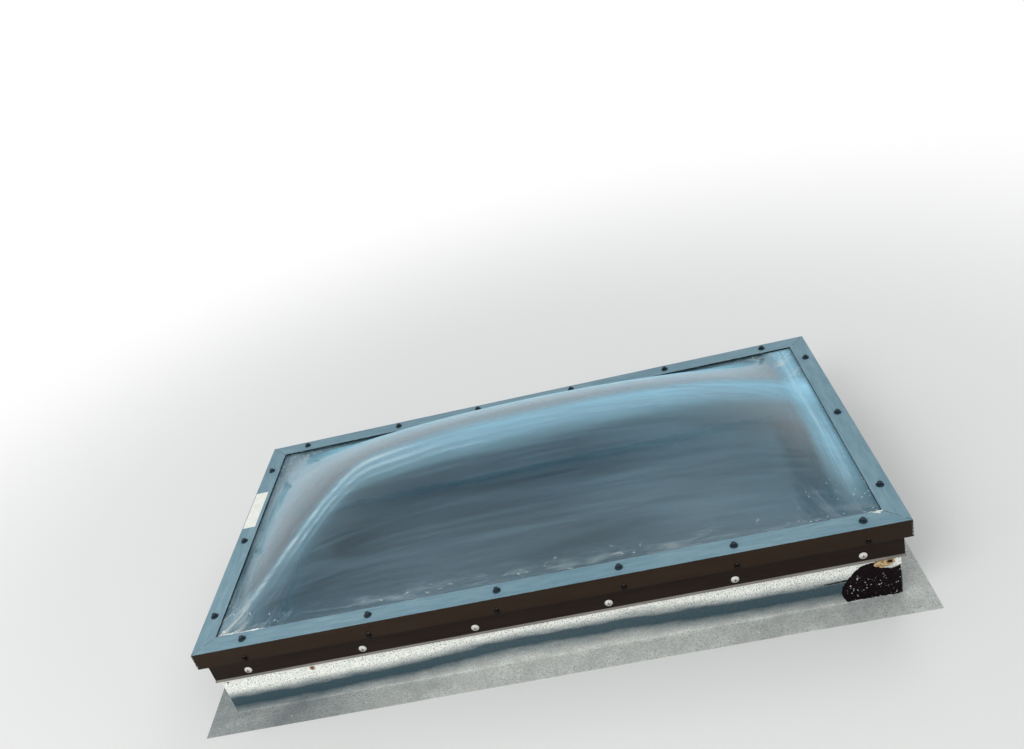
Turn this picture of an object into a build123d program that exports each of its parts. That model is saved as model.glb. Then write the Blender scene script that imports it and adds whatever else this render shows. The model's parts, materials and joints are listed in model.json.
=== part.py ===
"""Domed roof skylight: two blown acrylic domes in a mitred metal frame on a flashed wooden curb.

Millimetres. The origin is the middle of the underside, X runs along the long side, Y away from
the low side of the roof and Z up, square to the roof.
"""

import os
from math import cos, cosh, hypot, pi, sqrt

from build123d import *

os.makedirs("parts", exist_ok=True)

# Curb of four sawn boards
curb_length = 1257.3
curb_width = 647.7
curb_height = 139.7
board_thickness = 38.1
board_round = 2.5
curb_screw_drop = 22.0
curb_screw_count = 3
curb_screw_length = 76.0
curb_screw_shank = 4.2
curb_screw_head = 8.4

# Galvanised flashing, folded from sheet
sheet = 0.8
sheet_fold = 1.5
flashing_top_drop = 12.7
flashing_flange = 50.8
tab_width = 28.0
tab_top_drop = 9.0
tab_foot_gap = 2.4
nail_hole = 3.6
nail_inset = 19.0
nail_pitch = 152.0

# Curb frame extrusion
wall = 2.0
skirt_wall = 2.2
skirt_clearance = 3.2
skirt_drop = 47.6
drip_lip_height = 4.6
drip_lip_reach = 1.4
drip_lip_edge = 1.0
bed_width = 45.0
bed_height = 16.0
bed_overhang = 9.3
race_wall = 1.6
race_gap = 4.3
race_top_gap = 0.3
gutter_lip_height = 11.0
gutter_lip_wall = 1.8
key_arm = 62.0
key_fit = 0.2

# Retainer angle
retainer_wall = 2.0
retainer_flange = 38.0
retainer_leg = 36.0
retainer_fit = 0.75
retainer_round = 1.2
mitre_gap = 0.3

# Glazing stack, from the curb up
curb_gasket_thickness = 3.2
curb_gasket_inset = 3.0
bed_tape_thickness = 1.6
tape_width = 12.7
tape_inset = 4.0
inner_acrylic = 3.0
spacer_height = 6.4
outer_acrylic = 4.5
cap_tape_thickness = 1.6
cap_tape_width = 8.0
cap_tape_recess = 2.0
acrylic_expansion = 5.0
flange_reveal = 10.0

# Blown domes
outer_rise = 140.0
inner_rise = 126.0
root_softness = 0.05
membrane_terms = 8
stations_long = 61
stations_short = 37
surface_tolerance = 0.002
slope_step = 0.01

# Screws
cap_screw_inset = 19.0
cap_screw_shank = 4.2
cap_screw_reach = 15.0
cap_washer_radius = 7.2
cap_washer_thickness = 2.2
hex_flats = 8.0
hex_height = 4.6
hex_collar_radius = 5.6
hex_collar = 1.1
hex_chamfer = 0.5
hole_clearance = 0.6
drill_stroke = 5.0
leg_screw_rise = 5.0
leg_screw_shank = 3.9
leg_screw_reach = 11.0
leg_hex_flats = 8.0
leg_hex_height = 4.0
leg_collar_radius = 5.1
pilot_rise = 7.0
pilot_hole = 3.4
skirt_screw_drop = 30.6
skirt_screw_shank = 4.8
skirt_screw_bite = 33.0
skirt_head_radius = 7.2
skirt_head_height = 3.6
skirt_head_rim = 0.8
recess_width = 1.5
recess_span = 6.8
recess_depth = 1.9
recess_taper = 12.0
point_length = 4.0

# Screw stations along the long and the short sides, with the drift of the driller's hand
long_end_inset = 87.0
short_end_inset = 101.0
skirt_end_inset = 82.7
cap_drift = {
    "front": (9.0, 27.0, 43.0, 39.0, 16.0, 11.0),
    "back": (5.0, 13.0, -14.0, -11.0, -12.0, -11.0),
    "left": (-4.0, -20.0, -1.0),
    "right": (4.0, 9.0, 1.0),
}
leg_drift = {
    "front": (8.0, 22.0, 36.0, 41.0, 14.0, 12.0),
    "back": (5.0, 13.0, -14.0, -11.0, -12.0, -11.0),
    "left": (-4.0, -20.0, -1.0),
    "right": (4.0, 9.0, 1.0),
}
skirt_drift = {
    "front": (0.0, -2.0, -14.0, 6.0, 5.0, 0.0),
    "back": (0.0, 0.0, 0.0, 0.0, 0.0, 0.0),
    "left": (0.0, 0.0, 0.0),
    "right": (0.0, 0.0, 0.0),
}

# Paper label on the left retainer
label_width = 28.0
label_length = 127.0
label_thickness = 0.3
label_edge = 2.4
label_middle = 91.0

# Roof cement on the front flashing: its edge as distance in from the right end and height
patch_thickness = 2.6
patch_bevel = 1.6
patch_end_inset = 0.6
patch_foot = 3.3
patch_edge = (
    (96.0, 3.3), (104.0, 30.0), (91.0, 57.0), (66.0, 80.0), (47.0, 83.0), (28.0, 70.0), (0.0, 70.0),
)

# Half sizes of each layer, measured out from the middle of the opening
half_long = curb_length / 2
half_short = curb_width / 2
halves = {"front": half_short, "back": half_short, "left": half_long, "right": half_long}
outward = {"front": (0, -1, 0), "back": (0, 1, 0), "left": (-1, 0, 0), "right": (1, 0, 0)}
sides = ("front", "back", "left", "right")

# Distances out from the curb's outer face, shared by all four sides
skirt_inner = 2 * sheet + skirt_clearance
skirt_outer = skirt_inner + skirt_wall
bed_outer = skirt_outer + bed_overhang
bed_inner = bed_outer - bed_width
retainer_inner_face = bed_outer + retainer_fit
retainer_outer = retainer_inner_face + retainer_wall
retainer_edge = retainer_outer - retainer_flange
dome_root = retainer_edge - flange_reveal
screw_line = retainer_outer - cap_screw_inset
race_half = race_gap / 2 + race_wall
acrylic_edge = screw_line - race_half - acrylic_expansion

# Heights of each layer
gasket_top = curb_height + curb_gasket_thickness
bed_floor = gasket_top
bed_top = bed_floor + bed_height
inner_seat = bed_top + bed_tape_thickness
inner_top = inner_seat + inner_acrylic
outer_seat = inner_top + spacer_height
outer_top = outer_seat + outer_acrylic
retainer_under = outer_top + cap_tape_thickness
retainer_top = retainer_under + retainer_wall
skirt_bottom = curb_height - skirt_drop
skirt_screw_height = curb_height - skirt_screw_drop
leg_screw_height = bed_floor + leg_screw_rise

# Length of a skirt screw under its head
skirt_screw_length = skirt_outer + skirt_screw_bite


def ring(out_from, out_to, low, high):
    """Rectangular ring between two distances out from the curb's face."""
    with BuildPart() as made:
        with BuildSketch(Plane.XY.offset(low)):
            Rectangle(curb_length + 2 * out_to, curb_width + 2 * out_to)
            Rectangle(curb_length + 2 * out_from, curb_width + 2 * out_from, mode=Mode.SUBTRACT)
        extrude(amount=high - low)
    return made.part


def run_of(side):
    """Unit vector along a side, from its first screw to its last."""
    return Vector(1, 0, 0) if side in ("front", "back") else Vector(0, 1, 0)


def other_half(side):
    """Half the curb's size along the side's own run."""
    return half_long if side in ("front", "back") else half_short


def section_plane(side):
    """Plane across a side at its middle: local x runs outward from the curb's face, local y up."""
    out = Vector(*outward[side])
    return Plane(out * halves[side], x_dir=out, z_dir=out.cross(Vector(0, 0, 1)))


def face_plane(side, along, out, height):
    """Plane square to a side's outward direction, at a place on that side."""
    direction = Vector(*outward[side])
    place = direction * (halves[side] + out) + run_of(side) * along + Vector(0, 0, height)
    return Plane(place, x_dir=run_of(side), z_dir=direction)


def mitre_plane(side, end):
    """Mitre cut at one end of a side, pulled back by half the joint's gap."""
    out = Vector(*outward[side])
    run = run_of(side) * end
    corner = out * halves[side] + run * (other_half(side) - mitre_gap / sqrt(2))
    return Plane(corner, z_dir=out - run)


def mitred(part, side):
    """The part between its two mitre cuts."""
    for end in (-1, 1):
        part = split(part, bisect_by=mitre_plane(side, end), keep=Keep.TOP)
    return part


def stations(side, end_inset, drift):
    """Places of a side's screws along its run."""
    shifts = drift[side]
    reach = other_half(side) + retainer_outer - end_inset
    pitch = 2 * reach / (len(shifts) - 1)
    return [-reach + i * pitch + shift for i, shift in enumerate(shifts)]


def cap_stations(side, drift=cap_drift):
    """Places of the screws in the retainer's flange, or in its leg with the leg's drift."""
    inset = long_end_inset if side in ("front", "back") else short_end_inset
    return stations(side, inset, drift)


def skirt_stations(side):
    """Places of the skirt's screws; on the short sides they stand in line with the retainer's."""
    inset = skirt_end_inset if side in ("front", "back") else short_end_inset
    return stations(side, inset, skirt_drift)


def cap_planes(side, height):
    """Level planes on the line of a side's cap screws at a height."""
    return [Plane(face_plane(side, s, screw_line, height).origin) for s in cap_stations(side)]


def leg_planes(side, out, height):
    """Upright planes below a side's cap screws, for the screws through the retainer's leg."""
    return [face_plane(side, s, out, height) for s in cap_stations(side, leg_drift)]


def skirt_planes(side, out):
    """Upright planes at a side's skirt screws."""
    return [face_plane(side, s, out, skirt_screw_height) for s in skirt_stations(side)]


def curb_screw_heights():
    """Heights of the screws at each corner, spread evenly over the boards."""
    pitch = (curb_height - 2 * curb_screw_drop) / (curb_screw_count - 1)
    return [curb_screw_drop + i * pitch for i in range(curb_screw_count)]


def curb_screw_planes(side):
    """Screws through a long board into the end grain of the short ones."""
    reach = half_long - board_thickness / 2
    return [face_plane(side, end * reach, 0, z) for end in (-1, 1) for z in curb_screw_heights()]


# Curb boards: the long ones run past the ends of the short ones

head_cone = (curb_screw_head - curb_screw_shank) / 2

with BuildPart() as curb_screw:
    with BuildSketch(Plane.XZ):
        with BuildLine():
            Polyline(
                (0, 0),
                (curb_screw_head / 2, 0),
                (curb_screw_shank / 2, -head_cone),
                (curb_screw_shank / 2, point_length - curb_screw_length),
                (0, -curb_screw_length),
                close=True,
            )
        make_face()
    revolve(axis=Axis.Z)

for side in ("front", "back"):
    sign = outward[side][1]
    with BuildPart() as board:
        with BuildSketch(Plane.YZ):
            with Locations((sign * (half_short - board_thickness / 2), curb_height / 2)):
                RectangleRounded(board_thickness, curb_height, board_round)
        extrude(amount=half_long, both=True)
        with Locations(*curb_screw_planes(side)):
            add(curb_screw.part, mode=Mode.SUBTRACT)
        with Locations(*skirt_planes(side, 0)):
            Cylinder(
                skirt_screw_shank / 2,
                skirt_screw_bite,
                align=(Align.CENTER, Align.CENTER, Align.MAX),
                mode=Mode.SUBTRACT,
            )
    board.part.label = f"curb_board_{side}"
    export_step(board.part, f"parts/curb_board_{side}.step")

for side in ("left", "right"):
    sign = outward[side][0]
    with BuildPart() as board:
        with BuildSketch(Plane.XZ):
            with Locations((sign * (half_long - board_thickness / 2), curb_height / 2)):
                RectangleRounded(board_thickness, curb_height, board_round)
        extrude(amount=half_short - board_thickness, both=True)
        for long_side in ("front", "back"):
            with Locations(*curb_screw_planes(long_side)):
                add(curb_screw.part, mode=Mode.SUBTRACT)
        with Locations(*skirt_planes(side, 0)):
            Cylinder(
                skirt_screw_shank / 2,
                skirt_screw_bite,
                align=(Align.CENTER, Align.CENTER, Align.MAX),
                mode=Mode.SUBTRACT,
            )
    board.part.label = f"curb_board_{side}"
    export_step(board.part, f"parts/curb_board_{side}.step")

with BuildPart() as curb_screws:
    with Locations(*curb_screw_planes("front"), *curb_screw_planes("back")):
        add(curb_screw.part)
curb_screws.part.label = "curb_screws"
export_step(curb_screws.part, "parts/curb_screws.step")

# Flashing: an L folded from sheet on each side, with tabs that wrap the corners

flashing_leg = curb_height - flashing_top_drop
flange_out = sheet + flashing_flange
nail_out = flange_out - nail_inset
nail_reach_long = half_long + nail_out
nail_reach_short = half_short + nail_out
tab_foot = sheet + tab_foot_gap
tab_head = flashing_leg - tab_top_drop


def flashing_section():
    """The folded sheet across one side: leg against the curb, flange on the roof."""
    with BuildSketch() as section:
        with BuildLine():
            Polyline(
                (0, flashing_leg),
                (0, 0),
                (flange_out, 0),
                (flange_out, sheet),
                (sheet, sheet),
                (sheet, flashing_leg),
                close=True,
            )
        make_face()
        fillet(section.vertices().sort_by_distance((0, 0))[0], sheet + sheet_fold)
        fillet(section.vertices().sort_by_distance((sheet, sheet))[0], sheet_fold)
    return section.sketch


def nail_places(side):
    """Nail holes along a side's flange, evenly spread between the corner ones."""
    reach = nail_reach_long if side in ("front", "back") else nail_reach_short
    gaps = round(2 * reach / nail_pitch)
    step = 2 * reach / gaps
    direction = Vector(*outward[side]) * (halves[side] + nail_out)
    ends = 0 if side in ("front", "back") else 1
    return [
        direction + run_of(side) * (-reach + i * step) for i in range(ends, gaps + 1 - ends)
    ]


for side in sides:
    long_side = side in ("front", "back")
    leg_reach = half_long + sheet if long_side else half_short
    with BuildPart() as flashing:
        with BuildSketch(section_plane(side)):
            add(flashing_section())
        extrude(amount=leg_reach, both=True)
        if long_side:
            away = outward[side][1]
            for end in (-1, 1):
                corner_x = end * (half_long + sheet + flashing_flange / 2)
                corner_y = away * (half_short + flange_out / 2)
                with BuildSketch(Plane.XY):
                    with Locations((corner_x, corner_y)):
                        Rectangle(flashing_flange, flange_out)
                extrude(amount=sheet)
                tab_y = away * (half_short + sheet - tab_width / 2)
                with BuildSketch(Plane.YZ.offset(end * (half_long + sheet))):
                    with Locations((tab_y, (tab_foot + tab_head) / 2)):
                        Rectangle(tab_width, tab_head - tab_foot)
                extrude(amount=end * sheet)
        with Locations(*nail_places(side)):
            Cylinder(nail_hole / 2, drill_stroke, mode=Mode.SUBTRACT)
        with Locations(*skirt_planes(side, sheet / 2)):
            Cylinder((skirt_screw_shank + hole_clearance) / 2, drill_stroke, mode=Mode.SUBTRACT)
    flashing.part.label = f"flashing_{side}"
    export_step(flashing.part, f"parts/flashing_{side}.step")

# Foam tape between the curb and the frame

curb_gasket = ring(
    curb_gasket_inset - board_thickness, -curb_gasket_inset, curb_height, gasket_top
)
curb_gasket.label = "curb_gasket"
export_step(curb_gasket, "parts/curb_gasket.step")

# Curb frame: one extrusion section, four mitred lengths

chamber_floor = bed_floor + wall
chamber_roof = bed_top - wall
gutter_inner = -board_thickness


def frame_section():
    """Skirt, drip lip, hollow glazing bed, screw race and condensation gutter in one outline."""
    race_top = retainer_under - race_top_gap
    lip_out = skirt_outer + drip_lip_reach
    gutter_outer = gutter_inner + gutter_lip_wall
    gutter_floor = bed_floor + wall
    gutter_top = bed_floor + gutter_lip_height
    with BuildSketch() as section:
        with BuildLine():
            Polyline(
                (gutter_inner, bed_floor),
                (skirt_inner, bed_floor),
                (skirt_inner, skirt_bottom),
                (lip_out, skirt_bottom),
                (lip_out, skirt_bottom + drip_lip_edge),
                (skirt_outer, skirt_bottom + drip_lip_height),
                (skirt_outer, bed_floor),
                (bed_outer, bed_floor),
                (bed_outer, bed_top),
                (bed_inner, bed_top),
                (bed_inner, gutter_floor),
                (gutter_outer, gutter_floor),
                (gutter_outer, gutter_top),
                (gutter_inner, gutter_top),
                close=True,
            )
        make_face()
        for race_side in (-1, 1):
            rib = screw_line + race_side * (race_gap + race_wall) / 2
            with Locations((rib, (bed_top + race_top) / 2)):
                Rectangle(race_wall, race_top - bed_top)
        chambers = (
            (bed_inner + wall, screw_line - wall / 2),
            (screw_line + wall / 2, bed_outer - wall),
        )
        for low, high in chambers:
            with Locations(((low + high) / 2, (chamber_floor + chamber_roof) / 2)):
                Rectangle(high - low, chamber_roof - chamber_floor, mode=Mode.SUBTRACT)
    return section.sketch


skirt_middle = (skirt_inner + skirt_outer) / 2
bed_wall_middle = bed_outer - wall / 2

for side in sides:
    with BuildPart() as length:
        with BuildSketch(section_plane(side)):
            add(frame_section())
        extrude(amount=other_half(side) + retainer_outer, both=True)
    with BuildPart() as frame:
        add(mitred(length.part, side))
        with Locations(*skirt_planes(side, skirt_middle)):
            Cylinder((skirt_screw_shank + hole_clearance) / 2, drill_stroke, mode=Mode.SUBTRACT)
        with Locations(*leg_planes(side, bed_wall_middle, leg_screw_height)):
            Cylinder(leg_screw_shank / 2, drill_stroke, mode=Mode.SUBTRACT)
    frame.part.label = f"frame_{side}"
    export_step(frame.part, f"parts/frame_{side}.step")

# L keys that line up the mitred corners inside the bed

key_out_from = bed_inner + wall + key_fit
key_out_to = screw_line - wall / 2 - key_fit

with BuildPart() as corner_keys:
    with BuildSketch(Plane.XY.offset(chamber_floor)):
        for x_sign in (-1, 1):
            for y_sign in (-1, 1):
                corner_x = half_long + key_out_to
                corner_y = half_short + key_out_to
                key_width = key_out_to - key_out_from
                with Locations((x_sign * (corner_x - key_arm / 2), y_sign * (corner_y - key_width / 2))):
                    Rectangle(key_arm, key_width)
                with Locations((x_sign * (corner_x - key_width / 2), y_sign * (corner_y - key_arm / 2))):
                    Rectangle(key_width, key_arm)
    extrude(amount=chamber_roof - chamber_floor - key_fit)
corner_keys.part.label = "corner_keys"
export_step(corner_keys.part, "parts/corner_keys.step")

# Tapes and spacer of the glazing stack

tape_from = bed_inner + tape_inset

bed_tape = ring(tape_from, tape_from + tape_width, bed_top, inner_seat)
bed_tape.label = "bed_tape"
export_step(bed_tape, "parts/bed_tape.step")

dome_spacer = ring(tape_from, tape_from + tape_width, inner_top, outer_seat)
dome_spacer.label = "dome_spacer"
export_step(dome_spacer, "parts/dome_spacer.step")

cap_tape_from = retainer_edge + cap_tape_recess
cap_tape = ring(cap_tape_from, cap_tape_from + cap_tape_width, outer_top, retainer_under)
cap_tape.label = "cap_tape"
export_step(cap_tape, "parts/cap_tape.step")

# Blown domes: the shape that a sheet takes under even pressure, clamped along a rectangle

root_long = half_long + dome_root
root_short = half_short + dome_root
sheet_long = half_long + acrylic_edge
sheet_short = half_short + acrylic_edge


def membrane(x, y):
    """Height of an evenly loaded membrane over the rectangle, before scaling."""
    height = (root_short**2 - y**2) / 2
    for term in range(membrane_terms):
        order = 2 * term + 1
        rate = order * pi / (2 * root_short)
        swing = (-1) ** term * 16 * root_short**2 / (pi * order) ** 3
        height -= swing * cos(rate * y) * cosh(rate * x) / cosh(rate * root_long)
    return height


membrane_crown = membrane(0, 0)


def blown_height(x, y, rise):
    """Dome height over its flange, with a soft curve where it leaves the flat."""
    if abs(x) >= root_long or abs(y) >= root_short:
        return 0.0
    share = max(membrane(x, y) / membrane_crown, 0.0)
    return rise * (hypot(share, root_softness) - root_softness) / (hypot(1, root_softness) - root_softness)


def blown_point(x, y, rise, seat, depth):
    """Point of the dome at a depth below its outer surface, measured square to it."""
    if abs(x) >= root_long or abs(y) >= root_short:
        return (x, y, seat - depth)
    here = blown_height(x, y, rise)
    slope_x = (blown_height(x + slope_step, y, rise) - here) / slope_step
    slope_y = (blown_height(x, y + slope_step, rise) - here) / slope_step
    steepness = hypot(slope_x, slope_y, 1)
    return (
        x + depth * slope_x / steepness,
        y + depth * slope_y / steepness,
        seat + here - depth / steepness,
    )


def spread(half, count):
    """Evenly spaced stations from one edge of the dome to the other."""
    return [half * (2 * i / (count - 1) - 1) for i in range(count)]


def blown_surface(rise, seat, depth):
    """Spline surface at a depth below the dome's outer surface."""
    grid = [
        [blown_point(x, y, rise, seat, depth) for y in spread(root_short, stations_short)]
        for x in spread(root_long, stations_long)
    ]
    return Face.make_surface_from_array_of_points(
        grid, tol=surface_tolerance, min_deg=3, max_deg=5
    )


def blown_dome(rise, seat, thickness):
    """Blown shell of even thickness, joined to its flat clamped flange."""
    crown = seat + thickness
    below_outside = Solid.extrude(blown_surface(rise, crown, 0), (0, 0, -2 * rise))
    below_inside = Solid.extrude(blown_surface(rise, crown, thickness), (0, 0, -3 * rise))
    with BuildPart() as dome:
        with BuildSketch(Plane.XY.offset(seat)):
            Rectangle(2 * sheet_long, 2 * sheet_short)
            Rectangle(2 * root_long, 2 * root_short, mode=Mode.SUBTRACT)
        extrude(amount=thickness)
        add(below_outside - below_inside)
    return dome.part


for name, rise, seat, thickness in (
    ("inner_dome", inner_rise, inner_seat, inner_acrylic),
    ("outer_dome", outer_rise, outer_seat, outer_acrylic),
):
    dome = blown_dome(rise, seat, thickness)
    dome.label = name
    export_step(dome, f"parts/{name}.step")

# Retainer: an angle, four mitred lengths, drilled for the cap and leg screws


def retainer_section():
    """Flange over the glazing and leg down over the bed, with an eased outer corner."""
    leg_foot = retainer_top - retainer_leg
    with BuildSketch() as section:
        with BuildLine():
            Polyline(
                (retainer_edge, retainer_under),
                (retainer_inner_face, retainer_under),
                (retainer_inner_face, leg_foot),
                (retainer_outer, leg_foot),
                (retainer_outer, retainer_top),
                (retainer_edge, retainer_top),
                close=True,
            )
        make_face()
        corner = section.vertices().sort_by_distance((retainer_outer, retainer_top))[0]
        fillet(corner, retainer_round)
    return section.sketch


leg_middle = retainer_outer - retainer_wall / 2
pilot_height = leg_screw_height + pilot_rise

for side in sides:
    with BuildPart() as length:
        with BuildSketch(section_plane(side)):
            add(retainer_section())
        extrude(amount=other_half(side) + retainer_outer, both=True)
    with BuildPart() as retainer:
        add(mitred(length.part, side))
        with Locations(*cap_planes(side, retainer_under + retainer_wall / 2)):
            Cylinder((cap_screw_shank + hole_clearance) / 2, drill_stroke, mode=Mode.SUBTRACT)
        with Locations(*leg_planes(side, leg_middle, leg_screw_height)):
            Cylinder((leg_screw_shank + hole_clearance) / 2, drill_stroke, mode=Mode.SUBTRACT)
        with Locations(*leg_planes(side, leg_middle, pilot_height)):
            Cylinder(pilot_hole / 2, drill_stroke, mode=Mode.SUBTRACT)
    retainer.part.label = f"retainer_{side}"
    export_step(retainer.part, f"parts/retainer_{side}.step")

with BuildPart() as label_blank:
    with BuildSketch(Plane.XY.offset(retainer_top)):
        label_x = -(half_long + retainer_outer) + label_edge + label_width / 2
        with Locations((label_x, label_middle)):
            Rectangle(label_width, label_length)
    extrude(amount=label_thickness)
label_blank.part.label = "label_blank"
export_step(label_blank.part, "parts/label_blank.step")

# Cap screws and their bonded washers


def hex_screw(flats, height, collar_radius, shank, reach):
    """Hex washer-head screw, pointing down, with the underside of its head at the origin."""
    with BuildPart() as screw:
        with BuildSketch(Plane.XZ):
            with BuildLine():
                Polyline(
                    (0, hex_collar),
                    (collar_radius, hex_collar),
                    (collar_radius, 0),
                    (shank / 2, 0),
                    (shank / 2, point_length - reach),
                    (0, -reach),
                    close=True,
                )
            make_face()
        revolve(axis=Axis.Z)
        with BuildSketch(Plane.XY.offset(hex_collar)):
            RegularPolygon(flats / 2, 6, major_radius=False)
        extrude(amount=height - hex_collar)
        chamfer(screw.edges().group_by(Axis.Z)[-1], hex_chamfer)
    return screw.part


with BuildPart() as washer:
    with BuildSketch(Plane.XZ):
        with BuildLine():
            Polyline(
                (cap_screw_shank / 2, 0),
                (cap_washer_radius, 0),
                (cap_washer_radius, cap_washer_thickness / 2),
                (hex_collar_radius, cap_washer_thickness),
                (cap_screw_shank / 2, cap_washer_thickness),
                close=True,
            )
        make_face()
    revolve(axis=Axis.Z)

with BuildPart() as cap_washers:
    for side in sides:
        with Locations(*cap_planes(side, retainer_top)):
            add(washer.part)
cap_washers.part.label = "cap_washers"
export_step(cap_washers.part, "parts/cap_washers.step")

cap_seat = retainer_top + cap_washer_thickness
cap_screw_length = cap_washer_thickness + retainer_wall + cap_screw_reach
cap_screw = hex_screw(hex_flats, hex_height, hex_collar_radius, cap_screw_shank, cap_screw_length)
with BuildPart() as cap_screws:
    for side in sides:
        with Locations(*cap_planes(side, cap_seat)):
            add(cap_screw)
cap_screws.part.label = "cap_screws"
export_step(cap_screws.part, "parts/cap_screws.step")

# Leg screws, one under each cap screw

leg_screw = hex_screw(
    leg_hex_flats, leg_hex_height, leg_collar_radius, leg_screw_shank, leg_screw_reach
)
with BuildPart() as leg_screws:
    for side in sides:
        with Locations(*leg_planes(side, retainer_outer, leg_screw_height)):
            add(leg_screw)
leg_screws.part.label = "leg_screws"
export_step(leg_screws.part, "parts/leg_screws.step")

# Skirt screws: round heads with a cross recess, through the skirt and the flashing into the curb

with BuildPart() as skirt_screw:
    with BuildSketch(Plane.XZ):
        with BuildLine():
            Polyline(
                (0, skirt_head_height),
                (0, -skirt_screw_length),
                (skirt_screw_shank / 2, point_length - skirt_screw_length),
                (skirt_screw_shank / 2, 0),
                (skirt_head_radius, 0),
                (skirt_head_radius, skirt_head_rim),
            )
            TangentArc(
                (0, skirt_head_height), (skirt_head_radius, skirt_head_rim), tangent=(1, 0)
            )
        make_face()
    revolve(axis=Axis.Z)
    with BuildSketch(Plane.XY.offset(skirt_head_height)):
        Rectangle(recess_span, recess_width)
        Rectangle(recess_width, recess_span)
    extrude(amount=-recess_depth, taper=recess_taper, mode=Mode.SUBTRACT)

with BuildPart() as skirt_screws:
    for side in sides:
        with Locations(*skirt_planes(side, skirt_outer)):
            add(skirt_screw.part)
skirt_screws.part.label = "skirt_screws"
export_step(skirt_screws.part, "parts/skirt_screws.step")

# Roof cement smeared over the right end of the front flashing

patch_right = half_long + sheet - patch_end_inset
with BuildPart() as cement_patch:
    with BuildSketch(face_plane("front", patch_right, sheet, 0)):
        with BuildLine():
            smeared = Spline(*[(-inset, height) for inset, height in patch_edge])
            Polyline(smeared @ 1, (0, patch_foot), smeared @ 0)
        make_face()
    extrude(amount=patch_thickness)
    chamfer(cement_patch.faces().sort_by(Axis.Y)[0].edges(), patch_bevel)
cement_patch.part.label = "cement_patch"
export_step(cement_patch.part, "parts/cement_patch.step")
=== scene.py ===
# %% [markdown]
# # A domed roof skylight
#
# A skylight for a flat opening in a roof. Two blown acrylic domes lie in a mitred metal frame,
# an angle-shaped retainer clamps them down, and the whole lid sits on a wooden curb that is
# wrapped in galvanised sheet. The solids come packed from the workshop model, at real size.
# This lesson leaves their shapes alone and adds what they lack: finishes, dust, sealant and dirt.

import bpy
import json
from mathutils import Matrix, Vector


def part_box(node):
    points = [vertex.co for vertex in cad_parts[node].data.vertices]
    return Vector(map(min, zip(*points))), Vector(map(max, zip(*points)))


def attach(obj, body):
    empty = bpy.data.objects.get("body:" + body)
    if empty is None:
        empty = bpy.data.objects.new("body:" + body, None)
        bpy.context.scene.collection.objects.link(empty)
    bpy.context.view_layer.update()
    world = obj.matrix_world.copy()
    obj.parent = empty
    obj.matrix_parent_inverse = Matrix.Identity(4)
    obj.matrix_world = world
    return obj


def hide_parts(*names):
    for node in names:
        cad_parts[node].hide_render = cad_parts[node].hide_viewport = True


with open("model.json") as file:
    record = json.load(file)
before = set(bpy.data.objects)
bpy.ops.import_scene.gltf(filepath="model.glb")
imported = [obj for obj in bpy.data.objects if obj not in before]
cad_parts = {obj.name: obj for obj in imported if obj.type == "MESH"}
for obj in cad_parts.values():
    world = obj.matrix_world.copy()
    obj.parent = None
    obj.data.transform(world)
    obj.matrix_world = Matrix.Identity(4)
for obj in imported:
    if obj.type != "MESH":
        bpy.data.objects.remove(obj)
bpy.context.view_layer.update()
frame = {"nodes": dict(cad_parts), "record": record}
nodes = frame["nodes"]

# %% Tools of the lesson
import json
import math
import random

import bmesh
import bpy
from mathutils import Euler, Vector, noise

MM = 0.001
scene = bpy.context.scene
scene.view_settings.view_transform = "Standard"

# %% [markdown]
# ## The camera
#
# The picture was taken from above the low side of the roof, a little to the right, with the
# camera tilted. The frame's corners in the picture fix the place, the turn and the lens.

# %% Camera
CAMERA_PLACE = (0.23462, -1.59178, 1.27300)
CAMERA_TURN = (61.1975, 14.0203, 0.1038)
LENS = 32.86
camera_data = bpy.data.cameras.new("roof_camera")
camera_data.sensor_fit = "HORIZONTAL"
camera_data.sensor_width = 36.0
camera_data.lens = LENS
camera_data.clip_start = 0.05
camera = bpy.data.objects.new("roof_camera", camera_data)
camera.location = CAMERA_PLACE
camera.rotation_euler = Euler([math.radians(angle) for angle in CAMERA_TURN])
scene.collection.objects.link(camera)
scene.camera = camera
print("camera at", tuple(round(c, 3) for c in camera.location), "lens", camera_data.lens)

# %% [markdown]
# ## Floor and light
#
# A pale floor and soft light from all round, as in a studio. The floor brightens to plain white
# a few steps away from the object, so that no horizon shows. The world shines weakly on the
# object. The camera, mirrors and glass all see one background: white round the horizon and a
# pale sky blue overhead, so that the dome's curves read. One large lamp over the left shoulder
# gives the edges their shape, one behind lights the back, and a low one in front reaches the
# wall under the frame.


# %% Rays that show the background
def shows_background(tree):
    """1 for rays from the camera, a mirror or glass, 0 for those that only carry light."""
    ray = tree.nodes.new("ShaderNodeLightPath")
    mask = ray.outputs["Is Camera Ray"]
    for kind in ("Is Glossy Ray", "Is Transmission Ray"):
        either = tree.nodes.new("ShaderNodeMath")
        either.operation = "MAXIMUM"
        tree.links.new(mask, either.inputs[0])
        tree.links.new(ray.outputs[kind], either.inputs[1])
        mask = either.outputs[0]
    return mask


# %% Floor
FLOOR_HALF = 40.0
FLOOR_DROP = 0.2 * MM
FLOOR_GREY = (0.80, 0.80, 0.79, 1)
FADE_START = 0.9
FADE_END = 2.6
floor_mesh = bpy.data.meshes.new("studio_floor")
shape = bmesh.new()
bmesh.ops.create_grid(shape, x_segments=1, y_segments=1, size=FLOOR_HALF)
bmesh.ops.translate(shape, verts=shape.verts, vec=(0, 0, -FLOOR_DROP))
shape.to_mesh(floor_mesh)
shape.free()
floor = bpy.data.objects.new("studio_floor", floor_mesh)
scene.collection.objects.link(floor)

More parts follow.
